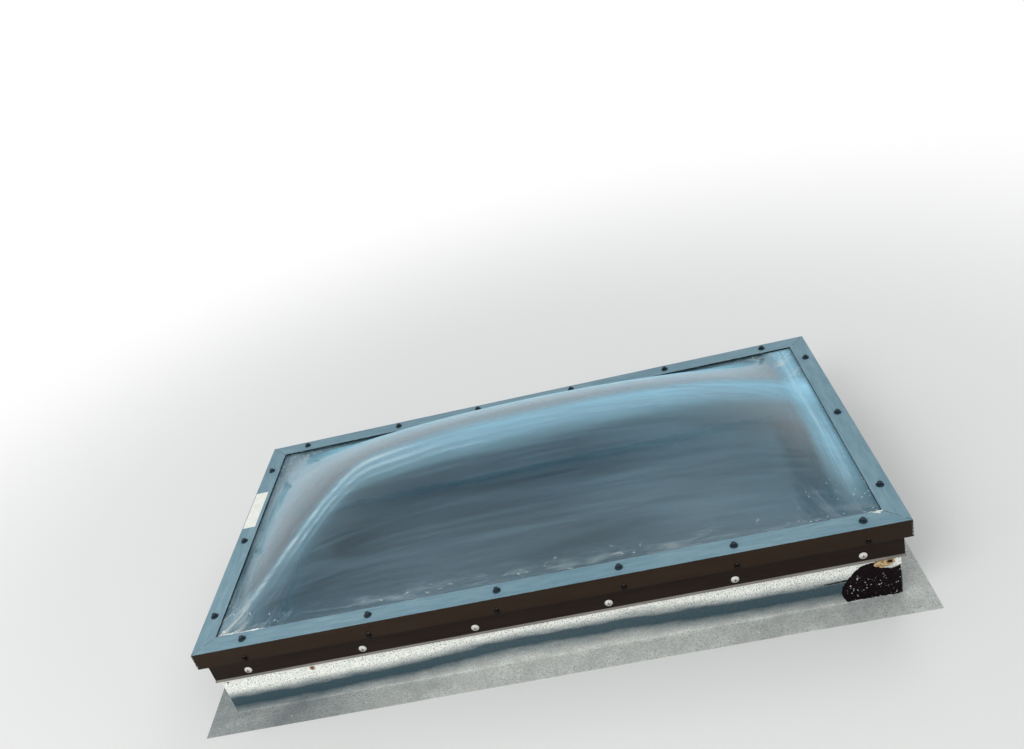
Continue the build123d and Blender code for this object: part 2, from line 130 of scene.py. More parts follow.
floor_paint = bpy.data.materials.new("studio_floor")
floor_paint.use_nodes = True
floor_tree = floor_paint.node_tree
floor_shader = floor_tree.nodes["Principled BSDF"]
floor_shader.inputs["Base Color"].default_value = FLOOR_GREY
floor_shader.inputs["Roughness"].default_value = 0.9
floor_shader.inputs["Specular IOR Level"].default_value = 0.2
floor_place = floor_tree.nodes.new("ShaderNodeTexCoord")
floor_away = floor_tree.nodes.new("ShaderNodeVectorMath")
floor_away.operation = "LENGTH"
floor_fade = floor_tree.nodes.new("ShaderNodeMapRange")
floor_fade.interpolation_type = "SMOOTHSTEP"
floor_fade.inputs["From Min"].default_value = FADE_START
floor_fade.inputs["From Max"].default_value = FADE_END
floor_white = floor_tree.nodes.new("ShaderNodeEmission")
floor_mix = floor_tree.nodes.new("ShaderNodeMixShader")
floor_seen = floor_tree.nodes.new("ShaderNodeMath")
floor_seen.operation = "MULTIPLY"
floor_tree.links.new(floor_place.outputs["Object"], floor_away.inputs[0])
floor_tree.links.new(floor_away.outputs["Value"], floor_fade.inputs["Value"])
floor_tree.links.new(floor_fade.outputs["Result"], floor_seen.inputs[0])
floor_tree.links.new(shows_background(floor_tree), floor_seen.inputs[1])
floor_tree.links.new(floor_seen.outputs[0], floor_mix.inputs["Fac"])
floor_tree.links.new(floor_shader.outputs[0], floor_mix.inputs[1])
floor_tree.links.new(floor_white.outputs[0], floor_mix.inputs[2])
floor_tree.links.new(floor_mix.outputs[0], floor_tree.nodes["Material Output"].inputs["Surface"])
floor_mesh.materials.append(floor_paint)
print("floor", 2 * FLOOR_HALF, "m across, white from", FADE_END, "m out")

# %% World
HORIZON = (1, 1, 1, 1)
MIDDLE_SKY = (0.74, 0.90, 1.0, 1)
ZENITH = (0.34, 0.62, 0.86, 1)
HORIZON_UP_TO = 0.35
MIDDLE_SKY_AT = 0.62
SOFT_LIGHT = (0.97, 0.985, 1.0, 1)
SOFT_STRENGTH = 0.66
world = bpy.data.worlds.new("studio")
scene.world = world
world.use_nodes = True
sky = world.node_tree
sky.nodes.clear()
sky_out = sky.nodes.new("ShaderNodeOutputWorld")
sky_mix = sky.nodes.new("ShaderNodeMixShader")
soft = sky.nodes.new("ShaderNodeBackground")
soft.inputs["Color"].default_value = SOFT_LIGHT
soft.inputs["Strength"].default_value = SOFT_STRENGTH
plain = sky.nodes.new("ShaderNodeBackground")
plain.inputs["Strength"].default_value = 1.0
heading = sky.nodes.new("ShaderNodeTexCoord")
heading_parts = sky.nodes.new("ShaderNodeSeparateXYZ")
climb = sky.nodes.new("ShaderNodeValToRGB")
climb.color_ramp.elements[0].position = HORIZON_UP_TO
climb.color_ramp.elements[0].color = HORIZON
climb.color_ramp.elements[1].position = 1.0
climb.color_ramp.elements[1].color = ZENITH
climb.color_ramp.elements.new(MIDDLE_SKY_AT).color = MIDDLE_SKY
sky.links.new(heading.outputs["Generated"], heading_parts.inputs[0])
sky.links.new(heading_parts.outputs["Z"], climb.inputs["Fac"])
sky.links.new(climb.outputs["Color"], plain.inputs["Color"])
sky.links.new(shows_background(sky), sky_mix.inputs["Fac"])
sky.links.new(soft.outputs[0], sky_mix.inputs[1])
sky.links.new(plain.outputs[0], sky_mix.inputs[2])
sky.links.new(sky_mix.outputs[0], sky_out.inputs["Surface"])
print("world strength", SOFT_STRENGTH, "on the object, 1 where it is seen")


# %% Lamps
def soft_lamp(name, place, size, power, target=(0, 0, 0.1)):
    """A large square lamp that faces the target and that mirrors and glass don't show."""
    data = bpy.data.lights.new(name, "AREA")
    data.shape = "SQUARE"
    data.size = size
    data.energy = power
    lamp = bpy.data.objects.new(name, data)
    lamp.location = place
    lamp.rotation_euler = (Vector(target) - Vector(place)).to_track_quat("-Z", "Y").to_euler()
    lamp.visible_glossy = False
    lamp.visible_transmission = False
    scene.collection.objects.link(lamp)
    print("lamp", name, power, "W")


soft_lamp("key_lamp", (-1.8, -2.4, 3.2), 2.4, 60.0)
soft_lamp("back_lamp", (1.6, 2.6, 2.8), 2.0, 22.0)
soft_lamp("front_lamp", (-1.0, -3.2, 0.9), 1.6, 20.0)

# %% [markdown]
# ## Helpers for finishes
#
# Each finish is a small tree of nodes. These helpers add a node, set its sockets and give a
# group its named inputs and outputs, so that the finishes below read as short recipes. All
# patterns use Object coordinates. The nodes' meshes hold their real place in metres, so one
# pattern runs over neighbouring pieces and its scale is a real size.


# %% Node helpers
def add_node(tree, kind, **settings):
    """Adds a node; settings that name a socket fill it, the rest are node properties."""
    node = tree.nodes.new(kind)
    for key, value in settings.items():
        if hasattr(node, key):
            setattr(node, key, value)
        else:
            node.inputs[key.replace("_", " ")].default_value = value
    return node


def new_group(name, inputs, outputs):
    """A shader node group with named float or colour sockets."""
    tree = bpy.data.node_groups.new(name, "ShaderNodeTree")
    kinds = {"value": "NodeSocketFloat", "colour": "NodeSocketColor", "vector": "NodeSocketVector"}
    for label, (kind, default) in inputs.items():
        socket = tree.interface.new_socket(name=label, in_out="INPUT", socket_type=kinds[kind])
        socket.default_value = default
    for label, kind in outputs.items():
        tree.interface.new_socket(name=label, in_out="OUTPUT", socket_type=kinds[kind])
    return tree, tree.nodes.new("NodeGroupInput"), tree.nodes.new("NodeGroupOutput")


def use_group(tree, group, **values):
    """Places a group in a material and sets its inputs."""
    node = tree.nodes.new("ShaderNodeGroup")
    node.node_tree = group
    for key, value in values.items():
        node.inputs[key.replace("_", " ")].default_value = value
    return node


def object_place(tree, scale=(1, 1, 1), turn=(0, 0, 0)):
    """Object coordinates, stretched and turned by a Mapping node."""
    place = tree.nodes.new("ShaderNodeTexCoord")
    mapping = tree.nodes.new("ShaderNodeMapping")
    mapping.inputs["Scale"].default_value = scale
    mapping.inputs["Rotation"].default_value = turn
    tree.links.new(place.outputs["Object"], mapping.inputs["Vector"])
    return mapping.outputs["Vector"]


def fill(tree, socket, value):
    """Links another node's socket, or sets a plain value."""
    if isinstance(value, bpy.types.NodeSocket):
        tree.links.new(value, socket)
    else:
        socket.default_value = value


def mix_colour(tree, factor, first, second):
    """A colour mix; each argument is a socket or a plain value."""
    node = tree.nodes.new("ShaderNodeMix")
    node.data_type = "RGBA"
    # Sockets of a colour mix: factor 0, colours 6 and 7, result 2
    for value, index in ((factor, 0), (first, 6), (second, 7)):
        fill(tree, node.inputs[index], value)
    return node.outputs[2]


def remap(tree, value, low, high, new_low=0.0, new_high=1.0):
    """Stretches a value's range and clamps it."""
    node = tree.nodes.new("ShaderNodeMapRange")
    node.inputs["From Min"].default_value = low
    node.inputs["From Max"].default_value = high
    node.inputs["To Min"].default_value = new_low
    node.inputs["To Max"].default_value = new_high
    tree.links.new(value, node.inputs["Value"])
    return node.outputs["Result"]


def combine(tree, operation, first, second):
    """Maths on two sockets or plain numbers."""
    node = tree.nodes.new("ShaderNodeMath")
    node.operation = operation
    fill(tree, node.inputs[0], first)
    fill(tree, node.inputs[1], second)
    return node.outputs[0]


def new_finish(name, **sockets):
    """A material with its Principled shader's plain sockets set."""
    material = bpy.data.materials.new(name)
    material.use_nodes = True
    shader = material.node_tree.nodes["Principled BSDF"]
    for key, value in sockets.items():
        shader.inputs[key.replace("_", " ")].default_value = value
    return material, material.node_tree, shader


# %% [markdown]
# ## Effects that several finishes share
#
# *Mottle* is the soft blotching that rain and dust leave, in two sizes. *Grain* is a fine bump
# with a matching change of roughness, for paint, anodising and paper. *Upward* is high where a
# face looks to the sky; the retainer uses it to place its painted sky reflection.

# %% Mottle
mottle, mottle_in, mottle_out = new_group(
    "mottle",
    {"Size": ("value", 0.05), "Stretch": ("vector", (1, 1, 1)), "Contrast": ("value", 0.5)},
    {"Mask": "value"},
)
mottle_coord = add_node(mottle, "ShaderNodeTexCoord")
mottle_scale = add_node(mottle, "ShaderNodeVectorMath", operation="DIVIDE")
mottle_stretch = add_node(mottle, "ShaderNodeVectorMath", operation="DIVIDE")
mottle.links.new(mottle_coord.outputs["Object"], mottle_scale.inputs[0])
mottle.links.new(mottle_in.outputs["Size"], mottle_scale.inputs[1])
mottle.links.new(mottle_scale.outputs[0], mottle_stretch.inputs[0])
mottle.links.new(mottle_in.outputs["Stretch"], mottle_stretch.inputs[1])
mottle_big = add_node(mottle, "ShaderNodeTexNoise", Scale=1.0, Detail=3.0, Roughness=0.6)
mottle_small = add_node(mottle, "ShaderNodeTexNoise", Scale=6.5, Detail=2.0, Roughness=0.5)
for texture in (mottle_big, mottle_small):
    mottle.links.new(mottle_stretch.outputs[0], texture.inputs["Vector"])
mottle_sum = combine(
    mottle,
    "ADD",
    combine(mottle, "MULTIPLY", mottle_big.outputs["Fac"], 0.72),
    combine(mottle, "MULTIPLY", mottle_small.outputs["Fac"], 0.28),
)
mottle_centred = combine(mottle, "SUBTRACT", mottle_sum, 0.5)
mottle_contrast = combine(mottle, "MULTIPLY", mottle_in.outputs["Contrast"], 6.0)
mottle_shifted = combine(
    mottle, "ADD", combine(mottle, "MULTIPLY", mottle_centred, mottle_contrast), 0.5
)
mottle.links.new(remap(mottle, mottle_shifted, 0.0, 1.0), mottle_out.inputs["Mask"])

# %% Grain
grain, grain_in, grain_out = new_group(
    "grain",
    {"Size": ("value", 0.001), "Depth": ("value", 0.2), "Roughness": ("value", 0.5)},
    {"Roughness": "value", "Normal": "vector"},
)
grain_coord = add_node(grain, "ShaderNodeTexCoord")
grain_scale = add_node(grain, "ShaderNodeVectorMath", operation="DIVIDE")
grain.links.new(grain_coord.outputs["Object"], grain_scale.inputs[0])
grain.links.new(grain_in.outputs["Size"], grain_scale.inputs[1])
grain_noise = add_node(grain, "ShaderNodeTexNoise", Scale=1.0, Detail=2.0)
grain.links.new(grain_scale.outputs[0], grain_noise.inputs["Vector"])
grain_bump = add_node(grain, "ShaderNodeBump", Distance=0.0003)
grain.links.new(grain_noise.outputs["Fac"], grain_bump.inputs["Height"])
grain.links.new(grain_in.outputs["Depth"], grain_bump.inputs["Strength"])
grain.links.new(grain_bump.outputs["Normal"], grain_out.inputs["Normal"])
grain_centred = combine(grain, "SUBTRACT", grain_noise.outputs["Fac"], 0.5)
grain_swing = combine(grain, "MULTIPLY", grain_centred, 0.16)
grain_rough = combine(grain, "ADD", grain_in.outputs["Roughness"], grain_swing)
grain.links.new(grain_rough, grain_out.inputs["Roughness"])

# %% Upward
upward, upward_in, upward_out = new_group(
    "upward", {"Start": ("value", 0.6), "End": ("value", 0.95)}, {"Mask": "value"}
)
upward_geometry = add_node(upward, "ShaderNodeNewGeometry")
upward_parts = add_node(upward, "ShaderNodeSeparateXYZ")
upward_range = add_node(upward, "ShaderNodeMapRange")
upward.links.new(upward_geometry.outputs["Normal"], upward_parts.inputs[0])
upward.links.new(upward_parts.outputs["Z"], upward_range.inputs["Value"])
upward.links.new(upward_in.outputs["Start"], upward_range.inputs["From Min"])
upward.links.new(upward_in.outputs["End"], upward_range.inputs["From Max"])
upward.links.new(upward_range.outputs["Result"], upward_out.inputs["Mask"])
print("shared effects:", ", ".join(g.name for g in bpy.data.node_groups))

# %% [markdown]
# ## Dark bronze metal
#
# The retainer and the frame are aluminium with a dark bronze coat. Upright faces keep their
# brown. Faces that look up are painted steel blue as a painted sky reflection, so the retainer
# mixes the two by *upward*, with *mottle* to break the reflection into soft runs along each
# length.

# %% Retainer with a painted sky reflection
BRONZE = (0.020, 0.0115, 0.0062, 1)
BRONZE_LIGHT = (0.029, 0.0188, 0.0115, 1)
SKY_REFLECTION_BLUE = (0.152, 0.264, 0.322, 1)
SKY_REFLECTION_LIGHT = (0.230, 0.354, 0.408, 1)
SKY_REFLECTION_DARK = (0.092, 0.172, 0.228, 1)
BARE_METAL = (0.52, 0.60, 0.62, 1)
SEAM_DARK = (0.012, 0.018, 0.024, 1)
EDGE_REACH = 1.1 * MM
SEAM_HALF = 0.5 * MM
SEAM_SOFT = 0.8 * MM
CHIP_CORE = 1.0 * MM
CHIP_REACH = 2.6 * MM
RETAINER_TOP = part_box("retainer_front")[1].z
MITRE_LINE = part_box("retainer_right")[1].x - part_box("retainer_back")[1].y


def edge_wear(tree, amount):
    """High near sharp edges, where chips show bare metal; broken up by noise."""
    rounded = add_node(tree, "ShaderNodeBevel", samples=4, Radius=EDGE_REACH)
    geometry = add_node(tree, "ShaderNodeNewGeometry")
    agree = add_node(tree, "ShaderNodeVectorMath", operation="DOT_PRODUCT")
    tree.links.new(rounded.outputs["Normal"], agree.inputs[0])
    tree.links.new(geometry.outputs["Normal"], agree.inputs[1])
    edge = remap(tree, agree.outputs["Value"], 0.995, 0.93)
    chips = use_group(tree, mottle, Size=0.009, Contrast=1.0)
    broken = remap(tree, chips.outputs["Mask"], 0.55, 0.95, 0.0, amount)
    return combine(tree, "MULTIPLY", edge, broken)


def retainer_finish(name, stretch, across):
    """Bronze coat with a painted sky reflection on its upward faces; stretch runs along the
    length.
    """
    material, tree, shader = new_finish(name, Metallic=0.0, Specular_IOR_Level=0.1)
    blotch = use_group(tree, mottle, Size=0.05, Stretch=stretch, Contrast=0.5)
    scuff = use_group(tree, mottle, Size=0.006, Stretch=stretch, Contrast=0.9)
    sky_side = use_group(tree, upward, Start=0.45, End=0.9)
    # Upward faces: steel blue that is painted sky reflection, in lighter and darker runs
    painted_reflection = mix_colour(tree, blotch.outputs["Mask"], SKY_REFLECTION_BLUE, SKY_REFLECTION_LIGHT)
    scuffed_reflection = mix_colour(
        tree, combine(tree, "MULTIPLY", scuff.outputs["Mask"], 0.35), painted_reflection, SKY_REFLECTION_DARK
    )
    scratch = add_node(tree, "ShaderNodeTexNoise", Scale=1.0, Detail=2.0, Distortion=0.4)
    tree.links.new(object_place(tree, scale=across, turn=(0, 0, 0.35)), scratch.inputs["Vector"])
    scratched_reflection = mix_colour(
        tree, remap(tree, scratch.outputs["Fac"], 0.70, 0.76, 0.0, 0.5), scuffed_reflection, SKY_REFLECTION_LIGHT
    )
    coat = mix_colour(
        tree, combine(tree, "MULTIPLY", blotch.outputs["Mask"], 0.6), BRONZE, BRONZE_LIGHT
    )
    # Upright faces keep the bronze coat; upward faces show the painted sky reflection
    coat_and_reflection = mix_colour(tree, sky_side.outputs["Mask"], coat, scratched_reflection)
    parts = add_node(tree, "ShaderNodeSeparateXYZ")
    tree.links.new(object_place(tree), parts.inputs[0])
    near_top = remap(tree, parts.outputs["Z"], RETAINER_TOP - 3 * MM, RETAINER_TOP - 2 * MM)
    worn = combine(tree, "MULTIPLY", edge_wear(tree, 0.7), near_top)
    # A mitre runs at 45 degrees, so along it the distances out in X and Y differ by one number
    along_x = combine(tree, "ABSOLUTE", parts.outputs["X"], 0.0)
    along_y = combine(tree, "ABSOLUTE", parts.outputs["Y"], 0.0)
    mitre_x = combine(tree, "SUBTRACT", along_x, MITRE_LINE)
    from_mitre = combine(tree, "ABSOLUTE", combine(tree, "SUBTRACT", mitre_x, along_y), 0.0)
    seam = remap(tree, from_mitre, SEAM_SOFT, SEAM_HALF)
    chips = use_group(tree, mottle, Size=0.004, Contrast=1.0)
    chipped = combine(
        tree,
        "MULTIPLY",
        remap(tree, from_mitre, CHIP_REACH, CHIP_CORE, 0.0, 0.8),
        remap(tree, chips.outputs["Mask"], 0.60, 0.80),
    )
    metal = mix_colour(tree, combine(tree, "MAXIMUM", worn, chipped), coat_and_reflection, BARE_METAL)
    tree.links.new(mix_colour(tree, seam, metal, SEAM_DARK), shader.inputs["Base Color"])
    surface = use_group(tree, grain, Size=0.0012, Depth=0.12, Roughness=0.42)
    tree.links.new(surface.outputs["Roughness"], shader.inputs["Roughness"])
    tree.links.new(surface.outputs["Normal"], shader.inputs["Normal"])
    return material


retainer_long = retainer_finish("bronze_retainer_long", (7, 1, 1), (25, 700, 700))
retainer_short = retainer_finish("bronze_retainer_short", (1, 7, 1), (700, 25, 700))

# %% [markdown]
# The frame's skirt is a shade darker. Its drip lip has lost its coat to ladders and fingers, so
# a band at the lip's height shows grey metal.

# %% Frame with a worn drip lip
SKIRT_BRONZE = (0.012, 0.0066, 0.0045, 1)
SKIRT_BRONZE_LIGHT = (0.018, 0.0112, 0.0076, 1)
LIP_GREY = (0.215, 0.200, 0.175, 1)
lip_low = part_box("frame_front")[0].z
LIP_TOP = lip_low + 4.8 * MM


def frame_finish(name, stretch):
    """Bronze coat with a bare band along the drip lip."""
    material, tree, shader = new_finish(name, Metallic=0.0, Specular_IOR_Level=0.1)
    coordinates = add_node(tree, "ShaderNodeTexCoord")
    parts = add_node(tree, "ShaderNodeSeparateXYZ")
    tree.links.new(coordinates.outputs["Object"], parts.inputs[0])
    band = remap(tree, parts.outputs["Z"], LIP_TOP, LIP_TOP - 0.6 * MM)
    rub = use_group(tree, mottle, Size=0.03, Stretch=stretch, Contrast=0.5)
    worn = combine(tree, "MULTIPLY", band, remap(tree, rub.outputs["Mask"], 0.0, 0.6, 0.6, 1.0))
    coat = mix_colour(tree, rub.outputs["Mask"], SKIRT_BRONZE, SKIRT_BRONZE_LIGHT)
    tree.links.new(mix_colour(tree, worn, coat, LIP_GREY), shader.inputs["Base Color"])
    surface = use_group(tree, grain, Size=0.0012, Depth=0.1, Roughness=0.45)
    tree.links.new(surface.outputs["Roughness"], shader.inputs["Roughness"])
    tree.links.new(surface.outputs["Normal"], shader.inputs["Normal"])
    return material


frame_long = frame_finish("bronze_frame_long", (6, 1, 1))
frame_short = frame_finish("bronze_frame_short", (1, 6, 1))
print("drip lip from", round(lip_low / MM, 1), "to", round(LIP_TOP / MM, 1), "mm")

# %% [markdown]
# ## Galvanised sheet
#
# Hot zinc freezes on the sheet in small crystals, the *spangle*. Voronoi cells a few
# millimetres wide give each crystal its own shade, and a finer speckle the dark pits between
# them. A soft dark teal band where the wall went into the roofing is painted shadow and
# reflection of the roofing. The roofing stood lower at both ends, and so does the band. What was
# buried below it is dull, down to the flange, and two brown specks stand where scraps have rusted.

# %% Galvanised sheet
ZINC = (0.765, 0.790, 0.725, 1)
ZINC_BRIGHT = (0.965, 0.970, 0.910, 1)
ZINC_PIT = (0.12, 0.17, 0.165, 1)
ROOFING_SHADOW_TEAL = (0.012, 0.046, 0.066, 1)
ZINC_DULL = (0.37, 0.385, 0.375, 1)
RUST = (0.16, 0.060, 0.020, 1)
RUST_SPOTS = ((-0.451, 0.079, 0.0042), (-0.619, 0.081, 0.0022))  # x, z and size
CRYSTALS_PER_METRE = 330.0
PITS_PER_METRE = 400.0
SHADOW_BAND_TOP = 0.077
SHADOW_BAND_FULL = 0.055
SHADOW_BAND_FOOT = 0.004
SHADOW_BAND_FOOT_FULL = 0.036
BURIED_TOP = 0.055
BURIED_FULL = 0.020
SHEET_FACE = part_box("curb_board_front")[0].y - 0.8 * MM

galvanised, tree, shader = new_finish("galvanised", Metallic=0.0, Specular_IOR_Level=0.2)
place = object_place(tree)
crystals = add_node(tree, "ShaderNodeTexVoronoi", Scale=CRYSTALS_PER_METRE)
tree.links.new(place, crystals.inputs["Vector"])
crystal_grey = add_node(tree, "ShaderNodeSeparateColor")
tree.links.new(crystals.outputs["Color"], crystal_grey.inputs[0])
pits = add_node(tree, "ShaderNodeTexNoise", Scale=PITS_PER_METRE, Detail=2.0)
tree.links.new(place, pits.inputs["Vector"])
pit_mask = remap(tree, pits.outputs["Fac"], 0.53, 0.67, 0.0, 0.85)
zinc = mix_colour(tree, crystal_grey.outputs["Red"], ZINC, ZINC_BRIGHT)
zinc = mix_colour(tree, pit_mask, zinc, ZINC_PIT)
parts = add_node(tree, "ShaderNodeSeparateXYZ")
tree.links.new(place, parts.inputs[0])
# The teal band is painted shadow and reflection of the roofing; its edge wavers and it lies lower
# at both ends
shadow_band_edge = use_group(tree, mottle, Size=0.05, Stretch=(4, 4, 1), Contrast=0.6)
shadow_band_rise = combine(
    tree,
    "ADD",
    remap(tree, parts.outputs["X"], -0.50, -0.06, 0.016, -0.007),
    remap(tree, parts.outputs["X"], 0.12, 0.35, 0.0, 0.010),
)
shadow_band_height = combine(
    tree,
    "ADD",
    combine(tree, "ADD", parts.outputs["Z"], shadow_band_rise),
    combine(tree, "MULTIPLY", shadow_band_edge.outputs["Mask"], 0.008),
)
roofing_shadow = combine(
    tree,
    "MULTIPLY",
    remap(tree, shadow_band_height, SHADOW_BAND_TOP, SHADOW_BAND_FULL, 0.0, 0.95),
    remap(tree, shadow_band_height, SHADOW_BAND_FOOT, SHADOW_BAND_FOOT_FULL),
)
dull_patches = use_group(tree, mottle, Size=0.04, Contrast=0.6)
buried = combine(
    tree,
    "MULTIPLY",
    remap(tree, parts.outputs["Z"], BURIED_TOP, BURIED_FULL, 0.0, 0.75),
    remap(tree, dull_patches.outputs["Mask"], 0.0, 1.0, 0.55, 1.0),
)
zinc = mix_colour(tree, buried, zinc, ZINC_DULL)
# Painted shadow and reflection of the roofing
zinc = mix_colour(tree, roofing_shadow, zinc, ROOFING_SHADOW_TEAL)
for spot_x, spot_z, spot_size in RUST_SPOTS:
    away = add_node(tree, "ShaderNodeVectorMath", operation="DISTANCE")
    away.inputs[1].default_value = (spot_x, SHEET_FACE, spot_z)
    tree.links.new(place, away.inputs[0])
    spot = remap(tree, away.outputs["Value"], spot_size * 1.6, spot_size * 0.6)
    zinc = mix_colour(tree, spot, zinc, RUST)
tree.links.new(zinc, shader.inputs["Base Color"])
surface = use_group(tree, grain, Size=0.0015, Depth=0.15, Roughness=0.48)
tree.links.new(surface.outputs["Roughness"], shader.inputs["Roughness"])
tree.links.new(surface.outputs["Normal"], shader.inputs["Normal"])

# %% [markdown]
# ## Wood of the curb
#
# Sawn softwood that has aged brown. The grain is noise that is stretched along each board, with
# thin dark lines where the year rings meet the face. Long and short boards need their own
# direction. Through the dome the well looks pale with a dark line round its foot, so the faces
# that look into the well carry an old pale primer and are dark along their foot, by most on the
# right board, where the line is broadest. On the left and right boards the primer is painted
# brighter, as painted light against the shade on their faces.

# %% Pine
PINE_PALE = (0.25, 0.155, 0.080, 1)
PINE_DARK = (0.13, 0.070, 0.032, 1)
PRIMER = (0.66, 0.62, 0.55, 1)
# The side boards' primer is painted brighter: painted light against the shade on their faces
PRIMER_BRIGHTENED_SIDES = (0.88, 0.86, 0.80, 1)
# Colour of the faces to the well along their foot
WELL_FOOT_DARK = (0.020, 0.012, 0.008, 1)
WELL_HALF_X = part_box("curb_board_right")[0].x
WELL_HALF_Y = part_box("curb_board_back")[0].y


def pine_finish(name, scale, foot, right_extra, primer):
    """Softwood whose grain runs along the axis with the small scale.

    Its faces to the well are primed above the foot, which is higher by right_extra on the right.
    """
    material, tree, shader = new_finish(name, Roughness=0.7, Specular_IOR_Level=0.3)
    along = object_place(tree, scale=scale)
    rings = add_node(tree, "ShaderNodeTexNoise", Scale=1.0, Detail=4.0, Distortion=0.6)
    tree.links.new(along, rings.inputs["Vector"])
    lines = remap(tree, rings.outputs["Fac"], 0.42, 0.58)
    wood = mix_colour(tree, lines, PINE_DARK, PINE_PALE)
    parts = add_node(tree, "ShaderNodeSeparateXYZ")
    tree.links.new(object_place(tree), parts.inputs[0])
    in_x = combine(tree, "ABSOLUTE", parts.outputs["X"], 0.0)
    in_y = combine(tree, "ABSOLUTE", parts.outputs["Y"], 0.0)
    facing_well = combine(
        tree,
        "MULTIPLY",
        combine(tree, "LESS_THAN", in_x, WELL_HALF_X + 0.1 * MM),
        combine(tree, "LESS_THAN", in_y, WELL_HALF_Y + 0.1 * MM),
    )
    right_more = remap(tree, parts.outputs["X"], -0.1, 0.1, 0.0, right_extra)
    height = combine(tree, "SUBTRACT", parts.outputs["Z"], right_more)
    above_foot = remap(tree, height, foot - 1 * MM, foot + 1 * MM)
    # Below the foot the faces to the well are dark
    lined = mix_colour(tree, above_foot, WELL_FOOT_DARK, primer)
    tree.links.new(mix_colour(tree, facing_well, wood, lined), shader.inputs["Base Color"])
    saw = add_node(tree, "ShaderNodeBump", Strength=0.3, Distance=0.0004)
    tree.links.new(rings.outputs["Fac"], saw.inputs["Height"])
    tree.links.new(saw.outputs["Normal"], shader.inputs["Normal"])
    return material


pine_long = pine_finish("pine_long", (6, 160, 160), 20 * MM, 0.0, PRIMER)
# The side boards take the brightened primer, which is painted light
pine_short = pine_finish("pine_short", (160, 6, 160), 22 * MM, 20 * MM, PRIMER_BRIGHTENED_SIDES)

# %% [markdown]
# ## Acrylic
#
# Glass-like plastic, so plain full transmission with an index of 1.49. The outer dome is tinted
# brown. Both domes' mirror colour is tinted sky blue, a painted reflection of an open sky. A
# sky-blue sheen on the outer dome is painted sky reflection where the dome is seen at a low
# angle, and stands for the finest dust as well. Rain marks only touch roughness.

# %% Acrylic domes
bronze_acrylic, tree, shader = new_finish(
    "bronze_acrylic",
    Base_Color=(0.52, 0.31, 0.21, 1),
    Metallic=0.0,
    Transmission_Weight=1.0,
    IOR=1.49,
    # Sky-blue mirror tint and sheen: painted sky reflection; the sheen stands for fine dust too
    Specular_Tint=(0.30, 0.75, 1.0, 1),
    Sheen_Weight=1.0,
    Sheen_Roughness=0.4,
    Sheen_Tint=(0.40, 0.80, 1.0, 1),
)
film = use_group(tree, mottle, Size=0.09, Stretch=(4, 1, 1), Contrast=0.5)
tree.links.new(remap(tree, film.outputs["Mask"], 0.3, 1.0, 0.02, 0.05), shader.inputs["Roughness"])

clear_acrylic, tree, shader = new_finish(
    "clear_acrylic",
    Base_Color=(0.88, 0.94, 0.96, 1),
    Metallic=0.0,
    Transmission_Weight=1.0,
    IOR=1.49,
    # Sky-blue mirror tint: painted sky reflection
    Specular_Tint=(0.5, 0.82, 1.0, 1),
)
film = use_group(tree, mottle, Size=0.12, Contrast=0.5)
tree.links.new(remap(tree, film.outputs["Mask"], 0.3, 1.0, 0.03, 0.06), shader.inputs["Roughness"])


# %% [markdown]
# ## Small parts
#
# Screws, washers, tapes, keys and the bare label. Each is a colour that shifts a little with
# *mottle* and a surface from *grain*, at the size that the real one shows.

# %% Small parts
def plain_finish(
    name, first, second, size, roughness, depth, metallic=0.0, contrast=0.5, specular=0.5
):
    """Two close colours, mottled, over a fine grain."""
    material, tree, shader = new_finish(name, Metallic=metallic, Specular_IOR_Level=specular)
    blotch = use_group(tree, mottle, Size=size, Contrast=contrast)
    colour = mix_colour(tree, blotch.outputs["Mask"], first, second)
    tree.links.new(colour, shader.inputs["Base Color"])
    surface = use_group(tree, grain, Size=size / 8, Depth=depth, Roughness=roughness)
    tree.links.new(surface.outputs["Roughness"], shader.inputs["Roughness"])
    tree.links.new(surface.outputs["Normal"], shader.inputs["Normal"])
    return material


# Name, the two colours, size of the mottle in metres, roughness, depth of the grain, and the
# settings that differ from plain_finish's own
SMALL_PARTS = (
    # Black steel and the rubber washers carry a blue cast that is painted sky reflection on black
    ("black_steel", (0.008, 0.013, 0.018), (0.026, 0.040, 0.052), 0.004, 0.45, 0.1,
     {"specular": 0.3}),
    ("leg_steel", (0.004, 0.003, 0.003), (0.014, 0.010, 0.009), 0.004, 0.6, 0.1,
     {"specular": 0.1}),
    ("bright_steel", (0.62, 0.60, 0.56), (0.80, 0.78, 0.73), 0.005, 0.34, 0.15,
     {"metallic": 0.75}),
    ("curb_screw_steel", (0.45, 0.36, 0.16), (0.62, 0.52, 0.28), 0.005, 0.35, 0.1,
     {"metallic": 0.9}),
    ("mill_aluminium", (0.62, 0.63, 0.64), (0.74, 0.75, 0.76), 0.02, 0.38, 0.1,
     {"metallic": 0.9}),
    ("washer_rubber", (0.010, 0.026, 0.036), (0.028, 0.058, 0.076), 0.004, 0.7, 0.2,
     {"specular": 0.15}),
    ("foam_tape", (0.018, 0.018, 0.019), (0.03, 0.03, 0.032), 0.004, 0.9, 0.6, {}),
    ("old_foam", (0.20, 0.10, 0.03), (0.62, 0.47, 0.25), 0.005, 0.85, 0.8, {"contrast": 0.9}),
    ("vinyl_spacer", (0.025, 0.026, 0.028), (0.04, 0.042, 0.045), 0.01, 0.55, 0.15, {}),
    ("label_paper", (0.76, 0.78, 0.70), (0.90, 0.90, 0.84), 0.02, 0.75, 0.2, {}),
    ("roof_cement", (0.002, 0.001, 0.002), (0.010, 0.004, 0.005), 0.006, 0.5, 0.9,
     {"specular": 0.07}),
    ("sealant", (0.52, 0.58, 0.58), (0.80, 0.82, 0.78), 0.01, 0.6, 0.3, {}),
)
small = {}
